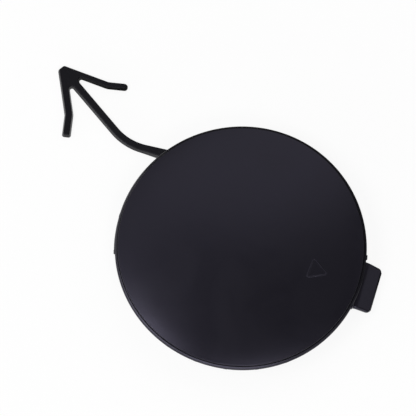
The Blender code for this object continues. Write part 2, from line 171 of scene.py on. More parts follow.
def faceSection():  # (radius, drop below the face), from the middle of the face out and under
    radius, rim, under = cap["radius"], cap["edgeRound"], cap["underBreak"]
    ledge, fillet = cap["ledgeDrop"], cap["ledgeFillet"]
    step = radius - cap["ledgeWidth"]
    high, low = cap["breakSlopes"]
    bulge = cap["edgeBreak"] / (cos(radians(low)) - cos(radians(high)))
    face = [((step - rim) * ring / cap["faceRings"], 0.0) for ring in range(1, cap["faceRings"])]
    face += arcPoints(step - rim, -rim, rim, 90, 0, cap["edgeSteps"])
    edge = arcPoints(step + fillet, fillet - ledge, fillet, 180, 270, cap["ledgeSteps"])
    edge += arcPoints(radius - bulge * cos(radians(low)),
                      cap["beadRise"] - ledge - bulge * sin(radians(high)),
                      bulge, high, low, cap["breakSteps"])
    edge += arcPoints(radius - under, under - cap["edgeHeight"], under, 0, -90, cap["breakSteps"])
    return [(x, rollOff(x) - y) for x, y in face] + [(x, -y) for x, y in edge]


def skirtOutline(angle):  # (radius, height), from under the edge down the skirt and back up
    inner = skirtRadius - cap["skirtWall"]
    lean = tan(radians(cap["skirtDraft"])) * cap["skirtDepth"] / 2
    foot = cap["footRound"]
    outside, inside = cap["outerFillet"], cap["innerFillet"]
    outerTop = edgeUnderside(angle, skirtRadius + outside)
    innerTop = edgeUnderside(angle, inner) + cap["edgeHeight"] - cap["wall"]
    outerCorner = arcPoints(skirtRadius + outside, outerTop - outside, outside, 90, 180,
                            cap["outerSteps"])
    outerFoot = arcPoints(skirtRadius - lean - foot, foot, foot, 0, -90, cap["footSteps"])
    innerFoot = arcPoints(inner + lean + foot, foot, foot, -90, -180, cap["footSteps"])
    innerCorner = arcPoints(inner - inside, innerTop - inside, inside, 0, 90, cap["innerSteps"])
    points = outerCorner + between(outerCorner[-1], outerFoot[0], cap["wallRows"]) + outerFoot
    points += innerFoot + between(innerFoot[-1], innerCorner[0], cap["wallRows"]) + innerCorner
    return points


def backSection():
    start = skirtRadius - cap["skirtWall"] - cap["innerFillet"]
    rings = range(cap["backRings"] - 1, 0, -1)
    return [(start * ring / cap["backRings"], cap["wall"]) for ring in rings]


def dropped(section, angle):
    places = [(polar(radius, angle), drop) for radius, drop in section]
    return [Vector((p.x, p.y, faceHeight(p.x, p.y) - drop)) for p, drop in places]


def buildCap():
    front, back = faceSection(), backSection()
    bm = bmesh.new()
    top = bm.verts.new((0, 0, faceHeight(0, 0)))
    bottom = bm.verts.new((0, 0, faceHeight(0, 0) - cap["wall"]))
    spokes = []
    for step in range(cap["turnSteps"]):
        angle = 360 * step / cap["turnSteps"]
        places = dropped(front, angle) + [polar(r, angle, z) for r, z in skirtOutline(angle)]
        spokes.append([bm.verts.new(place) for place in places + dropped(back, angle)])
    for here, after in zip(spokes, spokes[1:] + spokes[:1]):
        bm.faces.new((top, here[0], after[0]))
        for row in range(len(here) - 1):
            bm.faces.new((here[row], here[row + 1], after[row + 1], after[row]))
        bm.faces.new((bottom, after[-1], here[-1]))
    return newForm("coverMoulding", bm)


# Centring ribs between the edge and the skirt, and one on each shoulder of the tongue

ribs = {
    "count": 25,
    "startAngle": -39.4,
    "thickness": 1.3,
    "shy": 0.15,  # how far the ribs stop short of the edge of the face
    "land": 1.4,
    "depth": 5.8,
    "round": 0.16,
    "shoulderOffset": 0.35,
    "shoulderProud": 0.3,
}


def addBlade(bm, outline, angle, offset, thickness):  # an outline of (radius, height), thickened
    rows = []
    for side in (offset - thickness / 2, offset + thickness / 2):
        rows.append([upright(radius, side, z, angle) for radius, z in outline])
    sweepRows(bm, rows)


def addRib(bm, angle, proud):
    under = edgeUnderside(angle)
    reach = cap["radius"] + proud
    outline = [
        (wallMiddle, edgeUnderside(angle, wallMiddle) + overlap),
        (reach, under + overlap),
        (reach, under + overlap - ribs["land"]),
        (wallMiddle, under - ribs["depth"]),
    ]
    addBlade(bm, outline, angle, 0.0, ribs["thickness"])


def angleGap(first, second):
    return abs((first - second + 180) % 360 - 180)


def ribIsFree(angle):
    latchRoom = degrees((latch["width"] / 2 + latch["slotWidth"] + ribs["thickness"]) / skirtRadius)
    tongueRoom = degrees((tongue["width"] + ribs["thickness"]) / 2 / cap["radius"])
    tetherRoom = degrees((tether["rootWidth"] + ribs["thickness"] / 2) / cap["radius"])
    return (angleGap(angle, latch["angle"]) > latchRoom
            and angleGap(angle, tongue["angle"]) > tongueRoom
            and angleGap(angle, tetherCrossing(cap["radius"])) > tetherRoom)


def buildRibs():
    shoulder = degrees((tongue["width"] / 2 + ribs["shoulderOffset"]) / cap["radius"])
    bm = bmesh.new()
    for step in range(ribs["count"]):
        angle = ribs["startAngle"] + 360 * step / ribs["count"]
        if ribIsFree(angle):
            addRib(bm, angle, -ribs["shy"])
    for angle in (tongue["angle"] - shoulder, tongue["angle"] + shoulder):
        addRib(bm, angle, ribs["shoulderProud"])
    softenEdges(bm, ribs["round"])
    return newForm("centringRibs", bm)


# Snap latch: a finger of the skirt between two round-topped slots, with a catch outside

latch = {
    "angle": 171.7,
    "width": 13.2,
    "proud": 0.25,
    "land": 1.2,
    "leadIn": 1.4,
    "breakSize": 0.4,
    "round": 0.12,
    "webWidth": 1.1,
    "webProud": 0.1,
    "slotWidth": 1.2,
    "slotRoom": 0.9,
    "slotSteps": 10,
    "bumperSkin": 2.5,
    "skinClearance": 0.3,
    "steps": 12,
}


def hookHeight(angle):  # where the latch and the tongue bear on the back of the bumper skin
    return edgeUnderside(angle) - latch["bumperSkin"] - latch["skinClearance"]


def addCatch(bm, proud, start, end, steps):
    top = hookHeight(latch["angle"])
    reach = cap["radius"] + proud
    outline = [
        (wallMiddle, top),
        (reach - latch["breakSize"], top),
        (reach, top - latch["breakSize"]),
        (reach, top - latch["breakSize"] - latch["land"]),
        (skirtRadius, latch["leadIn"]),
        (wallMiddle, latch["leadIn"]),
    ]
    rows = []
    for step in range(steps + 1):
        angle = latch["angle"] + start + (end - start) * step / steps
        rows.append([polar(radius, angle, z) for radius, z in outline])
    sweepRows(bm, rows)


def buildCatch():
    half = degrees(latch["width"] / 2 / cap["radius"])
    bm = bmesh.new()
    addCatch(bm, latch["proud"], -half, half, latch["steps"])
    softenEdges(bm, latch["round"])
    return newForm("latchCatch", bm)


def buildWebs():
    half = degrees(latch["width"] / 2 / cap["radius"])
    web = degrees(latch["webWidth"] / cap["radius"])
    bm = bmesh.new()
    for start in (-half, half - web):
        addCatch(bm, latch["proud"] + latch["webProud"], start, start + web, 1)
    softenEdges(bm, latch["round"])
    return newForm("latchWebs", bm)


def buildSlots():
    half = latch["slotWidth"] / 2
    top = hookHeight(latch["angle"]) + latch["slotRoom"] - half
    arch = arcPoints(0, top, half, 0, 180, latch["slotSteps"])
    outline = [(half, -overlap)] + arch + [(-half, -overlap)]
    offset = latch["width"] * skirtRadius / cap["radius"] / 2 + half
    bm = bmesh.new()
    for middle in (-offset, offset):
        rows = []
        for radius in (skirtRadius - cap["skirtWall"] - overlap, skirtRadius + overlap):
            rows.append([upright(radius, middle + side, z, latch["angle"]) for side, z in outline])
        sweepRows(bm, rows)
    return newForm("latchSlots", bm)


# Tongue opposite the latch: it leaves the skirt level, bends down and has a rounded nose

tongue = {
    "angle": -16.2,
    "proud": 4.6,
    "width": 16.1,
    "tipWidth": 14.9,
    "thickness": 2.0,
    "slope": 30.0,
    "bendRadius": 2.2,
    "corner": 1.2,
    "edgeRound": 0.8,
    "bendSteps": 10,
    "noseSteps": 14,
    "edgeSteps": 4,
    "gussetThickness": 1.4,
    "gussetSpacing": 8.6,
    "gussetReach": 5.0,
    "gussetRound": 0.16,
}
tongueReach = cap["radius"] + tongue["proud"]


def roundedOff(size, corner, past):  # what a rounded corner leaves of a half size, past its start
    if past <= 0:
        return size
    return size - corner + sqrt(max(corner ** 2 - past ** 2, 0.0))


def tonguePath():  # (radius, height, slope) along the middle of the tongue
    level = hookHeight(tongue["angle"]) - tongue["thickness"] / 2
    slope, bend = radians(tongue["slope"]), tongue["bendRadius"]
    bendStart = cap["radius"] - bend * sin(slope) / 2
    path = [(wallMiddle, level, 0.0)]
    for step in range(tongue["bendSteps"] + 1):
        turn = slope * step / tongue["bendSteps"]
        path.append((bendStart + bend * sin(turn), level - bend * (1 - cos(turn)), turn))
    lastRadius, lastHeight = path[-1][:2]
    for step in range(tongue["noseSteps"] + 1):
        turn = pi / 2 * step / tongue["noseSteps"]
        radius = tongueReach - tongue["corner"] * (1 - sin(turn))
        path.append((radius, lastHeight - (radius - lastRadius) * tan(slope), slope))
    return path


def tongueRow(radius, height, slope):
    share = max((radius - skirtRadius) / (tongueReach - skirtRadius), 0.0)
    half = (tongue["width"] + (tongue["tipWidth"] - tongue["width"]) * share) / 2
    half = roundedOff(half, tongue["corner"], radius - tongueReach + tongue["corner"])
    edge = tongue["edgeRound"]
    across = roundedOff(tongue["thickness"] / 2, edge, radius - tongueReach + edge)
    row = []
    for quarter, (right, up) in enumerate(((1, 1), (-1, 1), (-1, -1), (1, -1))):
        corner = arcPoints(right * (half - edge), up * (across - edge), edge, 90 * quarter,
                           90 * quarter + 90, tongue["edgeSteps"])
        row += [upright(radius + n * sin(slope), v, height + n * cos(slope), tongue["angle"])
                for v, n in corner]
    return row


def buildTongue():
    bm = bmesh.new()
    sweepRows(bm, [tongueRow(*station) for station in tonguePath()])
    return newForm("tongue", bm)


def buildGussets():
    level = hookHeight(tongue["angle"]) - tongue["thickness"]
    reach = skirtRadius + tongue["gussetReach"]
    foot = cap["footRound"] + overlap
    outline = [
        (wallMiddle, level + overlap),
        (cap["radius"] - tongue["bendRadius"], level + overlap),
        (reach, level - (reach - cap["radius"]) * tan(radians(tongue["slope"])) + overlap),
        (skirtRadius, foot),
        (wallMiddle, foot),
    ]
    bm = bmesh.new()
    for side in (-tongue["gussetSpacing"] / 2, tongue["gussetSpacing"] / 2):
        addBlade(bm, outline, tongue["angle"], side, tongue["gussetThickness"])
    softenEdges(bm, tongue["gussetRound"])
    return newForm("tongueGussets", bm)


# Back of the face: stiffening ribs, the stub of the gate and the marks of the ejector pins

back = {
    "ribCount": 2,
    "ribSpacing": 18.0,
    "ribThickness": 1.2,
    "ribHeight": 2.4,
    "ribRound": 0.25,
    "ribSteps": 24,
    "cornerSteps": 3,
    # the gate stub and a pin mark, as (radius, height from the surface of the back) at each level
    "gateLevels": [(1.56, overlap), (1.56, 0.0), (1.3, -0.15), (1.04, -0.56), (0.78, -0.7),
                   (0.455, -0.602)],
    "pinLevels": [(2.0, -overlap), (2.0, 0.084), (1.9, 0.12)],
    "pinPlaces": [(24.0, 62.0), (24.0, 118.0), (24.0, 242.0), (24.0, 298.0), (13.0, 0.0),
                  (13.0, 180.0)],  # distance from the axis, and angle from the ribs
    "roundSteps": 32,
}
backTurn = (latch["angle"] - 180 + tongue["angle"]) / 2  # the ribs run from the tongue to the latch


def backHeight(x, y):
    return faceHeight(x, y) - cap["wall"]


def buildStiffeners():
    half, corner, steps = back["ribThickness"] / 2, back["ribRound"], back["cornerSteps"]
    section = [(half, overlap)]
    section += arcPoints(half - corner, corner - back["ribHeight"], corner, 0, -90, steps)
    section += arcPoints(corner - half, corner - back["ribHeight"], corner, -90, -180, steps)
    section.append((-half, overlap))
    bm = bmesh.new()
    for copy in range(back["ribCount"]):
        offset = back["ribSpacing"] * (copy - (back["ribCount"] - 1) / 2)
        reach = sqrt(wallMiddle ** 2 - (abs(offset) + half) ** 2)
        rows = []
        for step in range(back["ribSteps"] + 1):
            along = reach * (2 * step / back["ribSteps"] - 1)
            places = [(upright(along, offset + side, 0, backTurn), drop) for side, drop in section]
            rows.append([Vector((p.x, p.y, backHeight(p.x, p.y) + drop)) for p, drop in places])
        sweepRows(bm, rows)
    return newForm("stiffeningRibs", bm)


def addStud(bm, middle, levels):  # a round form on the back, level by level
    turns = [360 * step / back["roundSteps"] for step in range(back["roundSteps"])]
    rows = []
    for radius, rise in levels:
        places = [middle + polar(radius, turn) for turn in turns]
        rows.append([Vector((p.x, p.y, backHeight(p.x, p.y) + rise)) for p in places])
    sweepRows(bm, rows)


def buildGate():
    bm = bmesh.new()
    addStud(bm, polar(0, 0), back["gateLevels"])
    return newForm("gateStub", bm)


def buildPinMarks():
    bm = bmesh.new()
    for distance, angle in back["pinPlaces"]:
        addStud(bm, polar(distance, angle + backTurn), back["pinLevels"])
    return newForm("pinMarks", bm)


# Tether: a flat strap that leaves the skirt at a slant and ends in an anchor with two barbs.
# It narrows towards its top, so each ring is the same outline, pulled in by its shrink.

tether = {
    "lift": 0.3,
    "width": 2.9,
    "height": 2.0,
    "rootWidth": 4.1,
    "rootHeight": 3.4,
    "rootLength": 14.0,
    "draft": 12.0,
    "topRound": 0.3,
    "bottomRound": 0.15,
    "cornerAngle": 134.8,
    "cornerGap": 12.0,
    "rootDirection": -17.1,
    "direction": 129.2,
    "headDirection": 128.6,  # the arrow head is turned a little on the strap
    "bendRadius": 18.0,
    "length": 32.5,
    "rootSteps": 16,
    "bendSteps": 16,
    "bottomSteps": 3,
    "topSteps": 5,
}
barb = {
    "right": {"width": 2.3, "tipHalf": 1.0, "endLength": 4.6, "corner": 1.0},
    "left": {"width": 2.85, "tipHalf": 1.38, "endLength": 5.4, "corner": 0.75},
    "spread": 30.5,
    "length": 15.0,
    "flare": 15.0,
    "bendRadius": 4.5,
    "tipCorner": 1.2,
    "crotchRadius": 0.65,
    "bendSteps": 8,
    "crotchSteps": 12,
    "cornerSteps": 5,
}


def heading(angle):
    return Vector((cos(radians(angle)), sin(radians(angle))))


def leftOf(direction):
    return Vector((-direction.y, direction.x))


def tetherCorner():
    return heading(tether["cornerAngle"]) * (cap["radius"] + tether["cornerGap"])


def lineToCircle(start, direction, radius):
    along = start.dot(direction)
    return start + direction * (-along - sqrt(along ** 2 - start.length_squared + radius ** 2))


def tetherCrossing(radius):
    place = lineToCircle(tetherCorner(), heading(tether["rootDirection"]), radius)
    return degrees(atan2(place.y, place.x))


def tetherStations():  # (place, direction) along the strap, from the skirt's wall to the anchor
    root = heading(tether["rootDirection"])
    turn = pi - acos(root.dot(heading(tether["direction"])))
    start = tetherCorner() + root * tether["bendRadius"] * tan(turn / 2)
    centre = start + leftOf(root) * tether["bendRadius"]
    seat = lineToCircle(tetherCorner(), root, wallMiddle)
    steps = tether["rootSteps"]
    stations = [(seat.lerp(start, step / steps), -root) for step in range(steps)]
    for step in range(tether["bendSteps"] + 1):
        swing = Matrix.Rotation(-turn * step / tether["bendSteps"], 2)
        stations.append((centre + swing @ (start - centre), swing @ -root))
    return stations, seat


def strapEdges(shrink):  # each point with its share of the root's thickening
    stations, seat = tetherStations()
    sides = ([], [])
    for place, direction in stations:
        share = max(0.0, 1 - (place - seat).length / tether["rootLength"])
        half = (tether["width"] + (tether["rootWidth"] - tether["width"]) * share) / 2 - shrink
        for points, sign in zip(sides, (1, -1)):
            point = place + leftOf(direction) * half * sign
            if place == stations[0][0]:
                point = lineToCircle(point, -direction, wallMiddle)
            points.append((point, share))
    return sides


def barbEdge(centre, offset):
    points = []
    for step in range(barb["bendSteps"]):
        turn = radians(barb["spread"] + barb["flare"] * step / (barb["bendSteps"] - 1))
        points.append(centre + Vector((sin(turn), -cos(turn))) * (barb["bendRadius"] - offset))
    return points


def barbEnd(centre, half, side):
    turn = radians(barb["spread"] + barb["flare"])
    radial = Vector((sin(turn), -cos(turn)))
    corner = side["corner"] * half / (side["width"] / 2)
    middle = centre + radial * barb["bendRadius"]
    middle += leftOf(radial) * (side["endLength"] + half - corner)
    points = []
    for edge in (-1, 1):
        for step in range(barb["cornerSteps"] + 1):
            swing = pi / 2 * (step / barb["cornerSteps"] + (edge + 1) / 2)
            across = edge * (half - corner) - corner * cos(swing)
            points.append(middle + radial * across + leftOf(radial) * corner * sin(swing))
    return points


def tipCorner(start, spread, shrink, side):
    corner = barb["tipCorner"]
    aside = side["width"] / 2 - corner + (corner - start) * sin(spread)
    centre = Vector((corner, aside / cos(spread)))
    points = []
    for step in range(barb["cornerSteps"] + 1):
        swing = pi - (pi / 2 - spread) * step / barb["cornerSteps"]
        points.append(centre + Vector((cos(swing), sin(swing))) * (corner - shrink))
    return points


def crotch(start, along, aside, shrink, side):
    edge = tether["width"] / 2 + barb["crotchRadius"]
    reach = side["width"] / 2 + barb["crotchRadius"]
    centre = Vector((start + (reach + edge * along.x) / along.y, edge))
    first = atan2(aside.y, aside.x)
    points = []
    for step in range(barb["crotchSteps"]):
        swing = first + (3 * pi / 2 - first) * step / (barb["crotchSteps"] - 1)
        points.append(centre + Vector((cos(swing), sin(swing))) * (barb["crotchRadius"] + shrink))
    return points


def anchorSide(shrink, side):  # half of the arrow head, drawn back from its tip along +X
    spread = radians(barb["spread"])
    along, aside = Vector((cos(spread), sin(spread))), Vector((-sin(spread), cos(spread)))
    start = (side["width"] / 2 - side["tipHalf"] * cos(spread)) / sin(spread)
    outer = side["width"] / 2 - shrink
    bendCentre = Vector((start, 0)) + along * barb["length"] + aside * barb["bendRadius"]
    points = tipCorner(start, spread, shrink, side)
    points += barbEdge(bendCentre, outer)
    points += barbEnd(bendCentre, outer, side)
    points += reversed(barbEdge(bendCentre, -outer))
    points += crotch(start, along, aside, shrink, side)
    return points


def tetherRing(bm, shrink, rise, fromTop):  # rise is counted from the bottom, or down from the top
    tip = tetherCorner() + heading(tether["direction"]) * tether["length"]
    backward = -heading(tether["headDirection"])
    aside = leftOf(backward)
    right = [tip + backward * p.x + aside * p.y for p in anchorSide(shrink, barb["right"])]
    left = [tip + backward * p.x - aside * p.y for p in anchorSide(shrink, barb["left"])]
    strapLeft, strapRight = strapEdges(shrink)
    outline = strapRight + [(p, 0.0) for p in right[::-1] + left] + strapLeft[::-1]
    ring = []
    for place, share in outline:
        height = tether["height"] + (tether["rootHeight"] - tether["height"]) * share
        level = height - rise if fromTop else rise
        ring.append(bm.verts.new((place.x, place.y, tether["lift"] + level)))
    return ring


def coverRing(bm, ring):
    stations = len(tetherStations()[0])
    for step in range(stations - 1):
        bm.faces.new((ring[step], ring[step + 1], ring[-step - 2], ring[-step - 1]))
    bm.faces.new(ring[stations - 1:len(ring) - stations + 1])


def buildTether():
    low, high = tether["bottomRound"], tether["topRound"]
    pull = tan(radians(tether["draft"])) * (tether["height"] - high)
    bm = bmesh.new()
    rings = []
    for x, y in arcPoints(0, 0, low, 0, 90, tether["bottomSteps"])[::-1]:
        rings.append(tetherRing(bm, low - x, low - y, False))
    for x, y in arcPoints(0, 0, high, 0, 90, tether["topSteps"]):
        rings.append(tetherRing(bm, pull + high - x, high - y, True))
    for lower, upper in zip(rings, rings[1:]):
        for step in range(len(lower)):
            after = (step + 1) % len(lower)
            bm.faces.new((lower[step], lower[after], upper[after], upper[step]))
    coverRing(bm, rings[0])
    coverRing(bm, rings[-1])
    return newForm("tether", bm)


# Press mark: a low ridge round a triangle on the face, near the tongue

mark = {
    "middle": (23.8, -8.3),
    "turn": 9.6,
    "base": 7.0,
    "height": 5.8,
    "ridgeHeight": 0.11,
    "ridgeTop": 0.07,
    "flanks": [(0.24, 0.17), (0.15, 0.21), (0.24, 0.20)],  # widths inside and outside, side by side
    "shoulder": (0.15, 0.85),  # share of the flank and of the height at which the ridge turns
    "sunkFlank": 1.1,  # the flank goes on below the face, to this share of its width
    "sunkDepth": 0.2,
    "cornerRadius": 0.5,
    "sideSteps": 6,
    "cornerSteps": 6,
}


def markPath():  # (place, direction outwards, widths of the flanks) round the triangle
    half, rise = mark["base"] / 2, mark["height"]
    corners = [Vector((-half, -rise / 3)), Vector((half, -rise / 3)), Vector((0, rise * 2 / 3))]
    path = []
    for index, corner in enumerate(corners):
        before = (corners[index - 1] - corner).normalized()
        after = (corners[(index + 1) % 3] - corner).normalized()
        bend = acos(before.dot(after)) / 2
        centre = corner + (before + after).normalized() * mark["cornerRadius"] / sin(bend)
        first = -leftOf(before) if leftOf(before).dot(before + after) > 0 else leftOf(before)
        start = atan2(first.y, first.x)
        for step in range(mark["cornerSteps"] + 1):
            share = step / mark["cornerSteps"]
            swing = start + (pi - 2 * bend) * share
            out = Vector((cos(swing), sin(swing)))
            flanks = Vector(mark["flanks"][index - 1]).lerp(Vector(mark["flanks"][index]), share)
            path.append((centre + out * mark["cornerRadius"], out, flanks))
    return path


def markSection(flanks):  # (offset outwards, rise over the face), from foot to foot
    top, height = mark["ridgeTop"], mark["ridgeHeight"]
    out, up = mark["shoulder"]
    slope = [(0.0, height), (out, height * up), (1.0, 0.0), (mark["sunkFlank"], -mark["sunkDepth"])]
    inner = [(-top - flanks[0] * share, rise) for share, rise in slope]
    outer = [(top + flanks[1] * share, rise) for share, rise in slope]
    return inner[::-1] + outer


def buildMark():
    turn = Matrix.Rotation(radians(mark["turn"]), 2)
    path = markPath()
    bm = bmesh.new()
    rows = []
    for (place, out, flanks), following in zip(path, path[1:] + path[:1]):
        steps = mark["sideSteps"] if (following[0] - place).length > mark["cornerRadius"] else 1
        for step in range(steps):
            middle = place.lerp(following[0], step / steps)
            spots = [(turn @ (middle + out * side) + Vector(mark["middle"]), rise)
                     for side, rise in markSection(flanks)]
            rows.append([(p.x, p.y, faceHeight(p.x, p.y) + rise) for p, rise in spots])
    sweepRows(bm, rows, closed=True)
    return newForm("pressMark", bm)


# One moulding out of all the forms

footMount = {"name": "skirt_foot", "radius": 35.7, "angle": 70.0}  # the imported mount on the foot


def combine(body, form, operation):
    join = body.modifiers.new(form.name, "BOOLEAN")
    join.object = form
    join.operation = operation
    join.solver = "EXACT"


def faceAxis():  # the axis of the face in the frame
    mount = next(m for m in frame["record"]["mounts"] if m["name"] == footMount["name"])
    return Vector(mount["pos_m"]) - polar(footMount["radius"] * mm, footMount["angle"])


def finishMesh(piece):
    joined = piece.evaluated_get(bpy.context.evaluated_depsgraph_get())
    mesh = bpy.data.meshes.new_from_object(joined)
    piece.modifiers.clear()
    piece.data = mesh
    mesh.transform(Matrix.Translation(faceAxis()) @ Matrix.Scale(mm, 4))
    mesh.shade_smooth()
    mesh.set_sharp_from_angle(angle=radians(smoothAngle))
    flatten = piece.modifiers.new("evenShading", "WEIGHTED_NORMAL")
    flatten.keep_sharp = True


def buildMoulding():
    cover = buildCap()
    forms = [(buildSlots(), "DIFFERENCE"), (buildPinMarks(), "DIFFERENCE")]
    for build in (buildRibs, buildCatch, buildWebs, buildTongue, buildGussets, buildStiffeners,
                  buildGate, buildTether, buildMark):
        forms.append((build(), "UNION"))
    for form, operation in forms:
        combine(cover, form, operation)
    finishMesh(cover)
    for form, operation in forms:
        bpy.data.objects.remove(form)
    return cover


cover = buildMoulding()
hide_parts("tow_hook_cover")
print("moulding built:", len(cover.data.polygons), "faces")


# Shared effects of the moulded plastic

effects = {
    "smearEdge": (0.35, 0.68),  # the noise turns into smears between these values
    "speckEdge": (0.09, 0.02),  # a speck of dust fades out and is full at these distances
}


def nodeGroup(name, inputs, outputs):
    group = bpy.data.node_groups.new(name, "ShaderNodeTree")
    for label, kind, value in inputs:
        socket = group.interface.new_socket(label, in_out="INPUT", socket_type=kind)
        if value is not None:
            socket.default_value = value
    for label in outputs:
        group.interface.new_socket(label, in_out="OUTPUT", socket_type="NodeSocketFloat")
    return group, group.nodes.new("NodeGroupInput"), group.nodes.new("NodeGroupOutput")


def addNode(tree, kind, links=(), **settings):
    node = tree.nodes.new(kind)
    for name, value in settings.items():
        setattr(node, name, value)
    for socket, source in links:
        if hasattr(source, "is_output"):
            tree.links.new(source, node.inputs[socket])
        else:
            node.inputs[socket].default_value = source
    return node


def mathNode(tree, operation, first, second):
    node = addNode(tree, "ShaderNodeMath", [(0, first), (1, second)], operation=operation)
    return node.outputs[0]


def opaque(colour):
    return (*colour, 1.0)


def mixColours(tree, share, first, second):
    node = addNode(tree, "ShaderNodeMix", [(0, share), (6, first), (7, second)], data_type="RGBA")
    return node.outputs[2]


def mouldGrainGroup():  # eroded grain of the tool, with a slow unevenness of the moulded skin
    group, source, sink = nodeGroup("mouldGrain", [
        ("Vector", "NodeSocketVector", None), ("Grain Scale", "NodeSocketFloat", 9000.0),
        ("Grain Depth", "NodeSocketFloat", 1.0), ("Wave Scale", "NodeSocketFloat", 60.0),
        ("Wave Depth", "NodeSocketFloat", 1.0)], ["Height"])
    grain = addNode(group, "ShaderNodeTexNoise", [
        ("Vector", source.outputs["Vector"]), ("Scale", source.outputs["Grain Scale"]),
        ("Detail", 3.0), ("Roughness", 0.6)])
    wave = addNode(group, "ShaderNodeTexNoise", [
        ("Vector", source.outputs["Vector"]), ("Scale", source.outputs["Wave Scale"]),
        ("Detail", 1.0), ("Roughness", 0.4)])
    fine = mathNode(group, "MULTIPLY", grain.outputs["Fac"], source.outputs["Grain Depth"])
    slow = mathNode(group, "MULTIPLY", wave.outputs["Fac"], source.outputs["Wave Depth"])
    group.links.new(mathNode(group, "ADD", fine, slow), sink.inputs["Height"])
    return group


def handlingGroup():  # soft smears and a few dust specks, as masks from 0 to 1
    group, source, sink = nodeGroup("handling", [
        ("Vector", "NodeSocketVector", None), ("Smear Scale", "NodeSocketFloat", 40.0),
        ("Dust Scale", "NodeSocketFloat", 900.0), ("Dust Amount", "NodeSocketFloat", 0.3)],
        ["Smear", "Dust"])
    smear = addNode(group, "ShaderNodeTexNoise", [
        ("Vector", source.outputs["Vector"]), ("Scale", source.outputs["Smear Scale"]),
        ("Detail", 4.0), ("Roughness", 0.55), ("Distortion", 0.8)])
    soft = addNode(group, "ShaderNodeMapRange", [
        ("Value", smear.outputs["Fac"]), ("From Min", effects["smearEdge"][0]),
        ("From Max", effects["smearEdge"][1])], interpolation_type="SMOOTHSTEP")
    specks = addNode(group, "ShaderNodeTexVoronoi", [
        ("Vector", source.outputs["Vector"]), ("Scale", source.outputs["Dust Scale"])])
    dots = addNode(group, "ShaderNodeMapRange", [
        ("Value", specks.outputs["Distance"]), ("From Min", effects["speckEdge"][0]),
        ("From Max", effects["speckEdge"][1])])
    rare = addNode(group, "ShaderNodeSeparateColor", [(0, specks.outputs["Color"])])
    chosen = mathNode(group, "LESS_THAN", rare.outputs[0], source.outputs["Dust Amount"])
    group.links.new(soft.outputs[0], sink.inputs["Smear"])
    group.links.new(mathNode(group, "MULTIPLY", dots.outputs[0], chosen), sink.inputs["Dust"])
    return group


mouldGrain = mouldGrainGroup()
handling = handlingGroup()
print("shared effects built")


# The plastic as it shows on the face, behind it and on the tether

facePlastic = {
    "name": "facePlastic",
    "colour": (0.0022, 0.0020, 0.0032),
    "smearColour": (0.0028, 0.0026, 0.0035),
    "dustColour": (0.02, 0.02, 0.022),
    "roughness": (0.30, 0.35),
    "specularLevel": 0.33,
    "specularTint": (0.76, 0.72, 1.0),
    "grainScale": 9000.0,
    "grainDepth": 0.25,
    "waveScale": 45.0,
    "waveDepth": 1.0,
    "bumpDistance": 0.00002,
    "smearScale": 42.0,
    "dustScale": 700.0,
    "dustAmount": 0.06,
}
backPlastic = facePlastic | {
    "name": "backPlastic",
    "colour": (0.0030, 0.0029, 0.0036),
    "smearColour": (0.0038, 0.0037, 0.0042),
    "roughness": (0.52, 0.62),
    "specularLevel": 0.35,
    "specularTint": (0.9, 0.89, 1.0),
    "grainScale": 4200.0,
    "grainDepth": 1.0,
    "bumpDistance": 0.00006,
    "dustAmount": 0.12,
}
strapPlastic = backPlastic | {
    "name": "strapPlastic",
    "colour": (0.0022, 0.0022, 0.0024),
    "smearColour": (0.0030, 0.0030, 0.0032),
    "roughness": (0.30, 0.36),
    "specularLevel": 0.15,
    "specularTint": (0.84, 0.82, 1.0),
    "grainDepth": 0.5,
    "dustAmount": 0.05,
}


def plasticMaterial(settings):
    material = bpy.data.materials.new(settings["name"])
    material.use_nodes = True
    tree = material.node_tree
    shader = tree.nodes["Principled BSDF"]
    place = addNode(tree, "ShaderNodeTexCoord").outputs["Object"]
    grain = addNode(tree, "ShaderNodeGroup", node_tree=mouldGrain)
    marks = addNode(tree, "ShaderNodeGroup", node_tree=handling)
    for group in (grain, marks):
        tree.links.new(place, group.inputs["Vector"])
    for socket, key in (("Grain Scale", "grainScale"), ("Grain Depth", "grainDepth"),
                        ("Wave Scale", "waveScale"), ("Wave Depth", "waveDepth")):
        grain.inputs[socket].default_value = settings[key]
    for socket, key in (("Smear Scale", "smearScale"), ("Dust Scale", "dustScale"),
                        ("Dust Amount", "dustAmount")):
        marks.inputs[socket].default_value = settings[key]
    smeared = mixColours(tree, marks.outputs["Smear"], opaque(settings["colour"]),
                         opaque(settings["smearColour"]))
    dusty = mixColours(tree, marks.outputs["Dust"], smeared, opaque(settings["dustColour"]))
    dull = addNode(tree, "ShaderNodeMapRange", [
        ("Value", marks.outputs["Smear"]), ("To Min", settings["roughness"][0]),
        ("To Max", settings["roughness"][1])])
    bump = addNode(tree, "ShaderNodeBump", [
        ("Height", grain.outputs["Height"]), ("Distance", settings["bumpDistance"])])
    tree.links.new(dusty, shader.inputs["Base Color"])
    tree.links.new(dull.outputs[0], shader.inputs["Roughness"])
    tree.links.new(bump.outputs["Normal"], shader.inputs["Normal"])
    shader.inputs["Metallic"].default_value = 0.0
    shader.inputs["Specular IOR Level"].default_value = settings["specularLevel"]
    shader.inputs["Specular Tint"].default_value = opaque(settings["specularTint"])
    return material


regions = {
    "tetherAngles": (90, 165),
    "tetherGap": 0.6,  # the tether's look starts this far outside the edge of the face
    "tongueAngle": 20,  # on either side of the tongue's middle
    "tongueStart": 0.5,  # outside the skirt
    "tongueGap": 0.3,  # outside the edge of the face, and below the top of the tongue
    "edgeMargin": 0.05,  # above the underside of the edge
}


